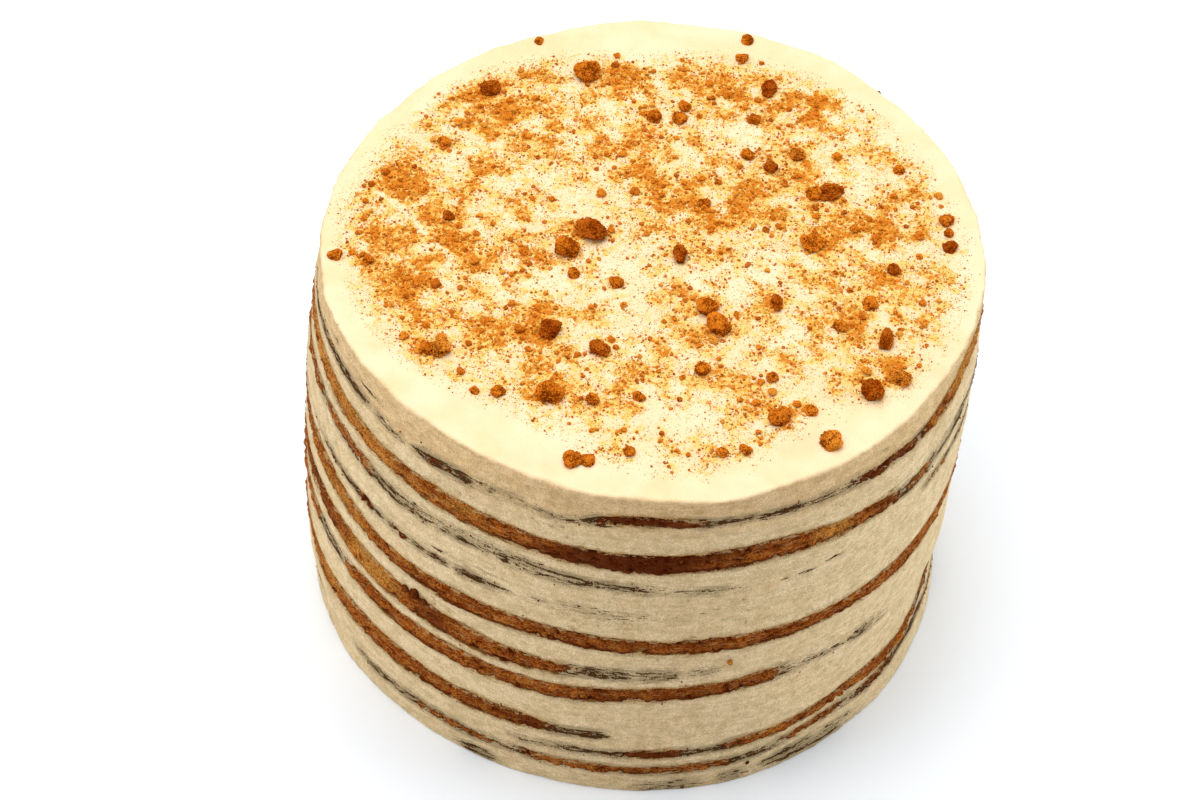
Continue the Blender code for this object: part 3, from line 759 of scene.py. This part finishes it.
def top_crumbs(material):
    """The listed crumbs, large and coarse, and the finer ones, each kind one mesh."""
    draw = np.random.default_rng(71)
    listed = np.array(CRUMBS)
    tones = draw.uniform(0.45, 0.65, len(listed))
    tones[list(DARK_CRUMBS)] = draw.uniform(0.78, 0.95, len(DARK_CRUMBS))
    tones[list(GOLDEN_CRUMBS)] = draw.uniform(0.25, 0.4, len(GOLDEN_CRUMBS))
    spans, turns = listed_spans(listed[:, 2])
    large = listed[:, 2] >= LARGE_CRUMB
    for name, chosen, level, number, size in (("large_crumbs", large, 5, 260, 0.16),
                                              ("coarse_crumbs", ~large, 4, 120, 0.24)):
        x, y, widths = listed[chosen].T
        granules = ((5, 1, 0.17), (14, 0.55, 0.12), (number, size, 0.13))
        crumb_piece(name, on_top(x, y, widths * 0.13), spans[chosen], tones[chosen], level, granules, draw,
                    material, 1, turns[chosen])
    for name, count, least, most, level, contrast, lightest, granules in FINER_CRUMBS:
        x, y = strewn_places(count, draw, contrast)
        widths = least + (most - least) * draw.uniform(0, 1, len(x)) ** 2
        tones = draw.uniform(lightest, 0.85, len(x))
        crumb_piece(name, on_top(x, y, widths * 0.15), spans_of(widths, CRUMB_FLATNESS), tones, level,
                    granules, draw, material)


def side_lumps(material):
    """The few crumbs that stand out at the side."""
    angle, height, widths, darkness = np.array(SIDE_LUMPS, float).T
    places = side_points(angle, side_shape(angle, height) - 0.1, height)
    crumb_piece("side_lumps", places, spans_of(widths), darkness, 3, ((8, 0.8, 0.2), (50, 0.34, 0.15)),
                np.random.default_rng(91), material, 1, marks=("dark", "grain"))


def side_crumbs(material):
    """Fine crumbs dragged along the side by the scraper, near the partly covered biscuits."""
    draw = np.random.default_rng(83)
    found = []
    for biscuit in BISCUITS:
        angle = draw.uniform(-180, 180, 1500)
        height = biscuit.middle(angle) + draw.normal(0, 0.6, 1500) * (biscuit.half(angle) + 0.3)
        bare = biscuit.bareness(angle)
        share = 0.45 * eased(bare, 0.2, 0.5) * (1 - 0.6 * eased(bare, 0.7, 1))
        kept = (draw.uniform(0, 1, 1500) < share) & (height > 0.5) & (height < HEIGHT - 4)
        radius, _ = coat(angle, height, (biscuit,))
        found.append(side_points(angle, radius, height)[kept])
    places = np.concatenate(found)
    widths = 0.15 + 0.3 * draw.uniform(0, 1, len(places)) ** 3
    darkness = draw.uniform(0.3, 1, len(places))
    crumb_piece("side_crumbs", places, spans_of(widths), darkness, 1, ((3, 1, 0.3),), draw, material,
                marks=("dark", "grain"))


class Wire:
    """One output of a material's node. Arithmetic on it adds Math nodes."""

    def __init__(self, recipe, socket):
        self.recipe = recipe
        self.socket = socket

    def maths(self, operation, *terms):
        """A Math node with these terms."""
        return self.recipe.node("Math", {"operation": operation}, dict(enumerate(terms)))

    def __add__(self, other):
        return self.maths("ADD", self, other)

    def __radd__(self, other):
        return self.maths("ADD", other, self)

    def __sub__(self, other):
        return self.maths("SUBTRACT", self, other)

    def __rsub__(self, other):
        return self.maths("SUBTRACT", other, self)

    def __mul__(self, other):
        return self.maths("MULTIPLY", self, other)

    def __rmul__(self, other):
        return self.maths("MULTIPLY", other, self)

    def eased(self, low, high):
        """0 below low, 1 above high and smooth between."""
        return self.recipe.node("MapRange", {"interpolation_type": "SMOOTHSTEP"},
                                {"Value": self, "From Min": low, "From Max": high})


class Recipe:
    """A material with one Principled shader, a colour painted coat by coat, and one way to add
    any other node."""

    def __init__(self, name, **constants):
        self.material = bpy.data.materials.new(name)
        self.material.use_nodes = True
        self.tree = self.material.node_tree
        self.shader = self.tree.nodes["Principled BSDF"]
        for key, value in constants.items():
            self.shader.inputs[key.replace("_", " ")].default_value = value
        self.place = self.node("TexCoord", output="Object")
        self.colour = None

    def node(self, kind, settings=None, inputs=None, output=0):
        """Adds a node: its settings first, then the values or links of its sockets."""
        made = self.tree.nodes.new("ShaderNode" + kind)
        for key, value in (settings or {}).items():
            setattr(made, key, value)
        for key, value in (inputs or {}).items():
            if isinstance(value, Wire):
                self.tree.links.new(value.socket, made.inputs[key])
            else:
                made.inputs[key].default_value = value
        return Wire(self, made.outputs[output])

    def attribute(self, name):
        """A value kept at the mesh's points."""
        return self.node("Attribute", {"attribute_name": name}, output="Fac")

    def axis(self, number):
        """One of the place's three numbers, in metres."""
        return self.node("SeparateXYZ", inputs={0: self.place}, output=number)

    def noise(self, cell, detail=2, place=None):
        """Noise whose cells are about so many mm wide."""
        inputs = {"Vector": place or self.place, "Scale": 1 / (cell * MM), "Detail": detail, "Roughness": 0.6}
        return self.node("TexNoise", inputs=inputs)

    def streaks(self, cell, detail, along, across):
        """Noise drawn out along the layers, where along is under 1. Its height is the lie of
        the layers, so that it follows their waves."""
        axes = {0: self.axis(0), 1: self.axis(1), 2: self.attribute("lie")}
        inputs = {"Vector": self.node("CombineXYZ", inputs=axes), "Scale": (along, along, across)}
        return self.noise(cell, detail, self.node("Mapping", inputs=inputs))

    def specks(self, cell, size, share):
        """Round specks, so large in cells of so many mm, in a share of the cells."""
        near = self.node("TexVoronoi", inputs={"Vector": self.place, "Scale": 1 / (cell * MM)})
        colour = Wire(self, near.socket.node.outputs["Color"])
        chance = self.node("SeparateColor", inputs={0: colour})
        return (1 - near.eased(size * 0.6, size * 1.4)) * (share - chance).eased(0, 0.05)

    def mix(self, share, first, second, way="MIX"):
        """Two colours blended by a share."""
        ends = [value if isinstance(value, Wire) else (*value, 1) for value in (first, second)]
        return self.node("Mix", {"data_type": "RGBA", "blend_type": way},
                         {0: share, 6: ends[0], 7: ends[1]}, output=2)

    def paint(self, share, colour):
        """Covers a share of what is painted so far with a colour."""
        self.colour = self.mix(share, self.colour, colour)

    def shade(self, share, colour):
        """Multiplies a share of what is painted so far by a colour."""
        self.colour = self.mix(share, self.colour, colour, "MULTIPLY")

    def finished(self, height, depth):
        """The material, with its colour, and normals for a height from 0 to 1 of so many mm."""
        bump = self.node("Bump", inputs={"Height": height, "Distance": depth * MM, "Strength": 1})
        for key, wire in (("Base Color", self.colour), ("Normal", bump)):
            self.tree.links.new(wire.socket, self.shader.inputs[key])
        return self.material


def cream_finish():
    """Sour cream: warm ivory, faintly mottled and streaked along the layers, browner and darker under the
    rim, partly a tint and partly painted shade, stained where it lies thin over a biscuit, and gold with dust
    on the top."""
    recipe = Recipe("cream_finish", Roughness=0.7, Specular_IOR_Level=0.03)
    crown, veil, strand, fringe, dust = map(recipe.attribute, ("crown", "veil", "strand", "fringe", "dust"))
    side = 1 - crown
    streaks = recipe.streaks(1.3, 4, 0.3, 1.6)
    grains = recipe.noise(0.45, 3)
    recipe.colour = recipe.mix(recipe.noise(6, 3).eased(0.3, 0.7), (0.84, 0.62, 0.35), (0.88, 0.67, 0.40))
    recipe.shade(side, (0.995, 0.985, 1))
    recipe.shade(streaks.eased(0.4, 0.65) * side, (0.88, 0.865, 0.835))
    recipe.shade(recipe.noise(2.4).eased(0.42, 0.62) * side, (0.88, 0.86, 0.81))
    recipe.shade(recipe.noise(0.24, 1).eased(0.36, 0.64) * side, (0.73, 0.73, 0.72))
    recipe.shade(recipe.noise(0.8).eased(0.4, 0.65) * side, (0.91, 0.92, 0.90))
    recipe.paint(grains.eased(0.52, 0.7) * 0.3 * side, (0.40, 0.30, 0.17))
    # Browner and darker just under the rim: partly a tint of the cream, partly painted shade
    under_rim_tint_and_shade = recipe.axis(2).eased(0.071, 0.079) * side
    recipe.shade(under_rim_tint_and_shade, (0.95, 0.87, 0.78))
    breaks = recipe.streaks(0.5, 3, 0.22, 1.3)
    speck = recipe.noise(0.25, 1)
    veiled = (veil + (breaks - 0.5) * 1.4 + (speck - 0.5) * 1.2).eased(0, 0.75) * veil.eased(0, 0.2)
    recipe.paint(veiled * 0.85, (0.30, 0.215, 0.11))
    drawn = (strand * 1.5 + (breaks - 0.5) * 4.4 + (speck - 0.5) * 1.4 - 0.85).eased(0, 0.22)
    recipe.paint(drawn * strand.eased(0.03, 0.2), (0.060, 0.024, 0.005))
    tinted = (fringe + (speck - 0.5) * 0.8).eased(0.15, 0.9) * fringe.eased(0, 0.2)
    recipe.paint(tinted * 0.85, (0.40, 0.20, 0.045))
    flecked = (fringe + (speck - 0.5) * 2.2 + (breaks - 0.5) * 1.6 - 0.85).eased(0, 0.2)
    recipe.paint(flecked * fringe.eased(0.3, 0.6), (0.20, 0.055, 0.006))
    clean = (1 - dust.eased(0.1, 0.6)) * crown
    recipe.paint(recipe.noise(14).eased(0.4, 0.65) * clean * 0.6, (0.88, 0.73, 0.50))
    haze = (dust * 0.8 + recipe.noise(2, 4) * 2.4 - 1.25).eased(0, 0.5) * dust.eased(0, 0.12)
    recipe.paint(haze * 0.85, (0.80, 0.54, 0.13))
    golden = (dust * 0.9 + recipe.noise(1.1, 4) * 3.2 - 2.08).eased(0, 0.3) * dust.eased(0, 0.15)
    recipe.paint(golden * 0.9, (0.76, 0.36, 0.045))
    powder = (dust * 0.9 + recipe.noise(1.5, 4) * 2.8 - 2.08).eased(0, 0.25)
    powdery = recipe.mix(recipe.noise(0.6, 3).eased(0.38, 0.62), (0.74, 0.29, 0.03), (0.56, 0.155, 0.010))
    recipe.paint(powder * 0.85, powdery)
    orange = (dust * 0.8 + recipe.noise(0.8, 4) * 3.2 - 2.15).eased(0, 0.2) * dust.eased(0, 0.2)
    recipe.paint(orange * 0.9, (0.60, 0.168, 0.010))
    for cell, size, share in ((0.45, 0.24, 0.45), (0.8, 0.2, 0.4)):
        specks = recipe.specks(cell, size, dust * 0.5 + share) * crown * dust.eased(0, 0.06)
        recipe.paint(specks * 0.7, (0.34, 0.23, 0.035))
    return recipe.finished(streaks * 0.3 + grains * 0.4 + recipe.noise(0.3) * 0.3, 0.3)


def biscuit_finish():
    """Honey biscuit: orange-brown crumb in layered streaks, golden in places and on its raised grain and
    darker in its pores, mostly a random mottle and partly painted highlight and painted shade that follow its
    relief. It is darker where it baked longest and towards its lower border, with a little painted shadow of
    the cream above along its upper border, and cream is smeared over its borders."""
    recipe = Recipe("biscuit_finish", Roughness=0.85, Specular_IOR_Level=0.04)
    grain, dark, border = map(recipe.attribute, ("grain", "dark", "border"))
    crumb = recipe.noise(0.32, 3)
    fibres = recipe.streaks(0.7, 3, 0.2, 2)
    # Darker where the relief is low and golden where it is high: mostly a random mottle, partly painted shade
    # in the pores and painted highlight on the raised grain
    high = grain * 0.3 + crumb * 1.4 - 0.45
    recipe.colour = recipe.mix(high.eased(0.15, 0.6), (0.115, 0.018, 0.0008), (0.36, 0.085, 0.006))
    recipe.paint(fibres.eased(0.5, 0.7) * 0.7, (0.09, 0.013, 0.0006))
    recipe.paint((high + recipe.noise(3) * 0.7).eased(0.74, 1.08) * 0.6, (0.56, 0.22, 0.035))
    threads = recipe.streaks(0.45, 3, 0.15, 1.5)
    recipe.paint(threads.eased(0.54, 0.66) * 0.55, (0.52, 0.26, 0.09))
    golden = (0 - dark).eased(0, 0.8) * (0.2 + crumb.eased(0.4, 0.62) * 0.6)
    recipe.paint(golden, (0.64, 0.29, 0.05))
    recipe.paint(dark.eased(0, 1.1) * 0.85, (0.062, 0.0065, 0.0002))
    smear = border + (recipe.streaks(0.45, 3, 0.3, 1.5) - 0.5) * 3.4 + (crumb - 0.5) - 0.82
    recipe.paint(smear.eased(0, 0.25) * border.eased(0.05, 0.4) * 0.8, (0.46, 0.31, 0.15))
    return recipe.finished(crumb * 0.6 + fibres * 0.25 + recipe.noise(0.3) * 0.15, 0.4)


def crumb_finish():
    """Crumbs: gold to dark brown by each one's tone, olive under 0, with painted shade in the hollows between
    their granules and painted highlight on the granules' tops, both broken up by a random mottle.
    """
    recipe = Recipe("crumb_finish", Roughness=0.9, Specular_IOR_Level=0)
    tone, tip = map(recipe.attribute, ("tone", "tip"))
    rough = recipe.noise(0.26)
    recipe.colour = recipe.mix(tone.eased(0, 0.4), (0.80, 0.38, 0.055), (0.66, 0.18, 0.010))
    recipe.paint(tone.eased(0.45, 1) * 0.95, (0.32, 0.055, 0.003))
    recipe.paint((0 - tone).eased(0, 0.4), (0.32, 0.20, 0.04))
    # Painted shade in the hollows between the granules and painted highlight on their tops, mixed with a
    # random mottle
    high = tip * 0.5 + rough * 1.7 - 0.55
    recipe.paint((1 - high).eased(0.3, 0.6) * 0.85, (0.14, 0.016, 0.0004))
    recipe.paint(high.eased(0.68, 0.95) * (0.5 - tone * 0.3), (0.86, 0.33, 0.045))
    return recipe.finished(rough, 0.22)


def make_cake():
    """Every piece of the cake; the cream and the biscuits hide the parts of the solids that they take the
    place of.
    """
    cream = cream_finish()
    biscuit = biscuit_finish()
    crumb = crumb_finish()
    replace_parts(cream_top("sour_cream_top", cream), "cream_top")
    for number in range(len(BISCUITS)):
        piece = honey_layer(f"biscuit_{number + 1:02d}", BISCUITS[number], biscuit)
        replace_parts(piece, f"honey_layer_{number + 1:02d}")
    for number in range(len(BISCUITS) - 1):
        piece = cream_layer(f"sour_cream_{number + 1:02d}", *BISCUITS[number:number + 2], cream)
        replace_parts(piece, f"cream_layer_{number + 1:02d}")
    top_crumbs(crumb)
    side_crumbs(biscuit)
    side_lumps(biscuit)


def area_light(name, place, target, size, power, colour):
    """A rectangular lamp that faces a target."""
    lamp = bpy.data.lights.new(name, "AREA")
    lamp.shape = "RECTANGLE"
    lamp.color = colour
    lamp.size, lamp.size_y = size
    lamp.energy = power
    light = bpy.data.objects.new(name, lamp)
    light.location = place
    way = np.subtract(target, place)
    tilt = math.atan2(math.hypot(way[0], way[1]), -way[2])
    light.rotation_euler = (tilt, 0, math.atan2(way[1], way[0]) - math.pi / 2)
    bpy.context.scene.collection.objects.link(light)


def studio():
    """A pale floor, a large soft lamp overhead, two faint low ones at the sides, and faint
    light all round."""
    bpy.ops.mesh.primitive_plane_add(size=FLOOR_SIZE, location=(0, 0, 0))
    floor = bpy.context.active_object
    floor.name = "floor"
    recipe = Recipe("floor_finish", Base_Color=FLOOR_COLOUR, Roughness=0.9, Specular_IOR_Level=0)
    floor.data.materials.append(recipe.material)
    for lamp in LAMPS:
        area_light(*lamp)
    world = bpy.data.worlds.new("room")
    world.use_nodes = True
    world.node_tree.nodes["Background"].inputs["Color"].default_value = (*WHITE, 1)
    world.node_tree.nodes["Background"].inputs["Strength"].default_value = ROOM_LIGHT
    bpy.context.scene.world = world
    bpy.context.scene.view_settings.view_transform = "Standard"


def camera():
    """The photo's camera: its lens from the fitted focal length, aimed at a point by
    the rim, from the fitted distance and elevation, rolled a little."""
    elevation, roll = math.radians(CAMERA_ELEVATION), math.radians(CAMERA_ROLL)
    back = np.array((0, -math.cos(elevation), math.sin(elevation)))
    right = np.array((1, 0, 0))
    up = np.cross(right, -back)
    side = math.cos(roll) * right + math.sin(roll) * up
    above = -math.sin(roll) * right + math.cos(roll) * up
    aim = np.array(AIM) - (MIDDLE_X, MIDDLE_Y, 0)
    lens = bpy.data.cameras.new("camera")
    lens.sensor_width = SENSOR
    lens.lens = FOCAL_PIXELS / PHOTO_WIDTH * SENSOR
    eye = bpy.data.objects.new("camera", lens)
    matrix = np.eye(4)
    matrix[:3] = np.stack((side, above, back, (aim + back * CAMERA_DISTANCE) * MM), axis=1)
    eye.matrix_world = Matrix(matrix.tolist())
    bpy.context.scene.collection.objects.link(eye)
    bpy.context.scene.camera = eye


make_cake()
studio()
camera()
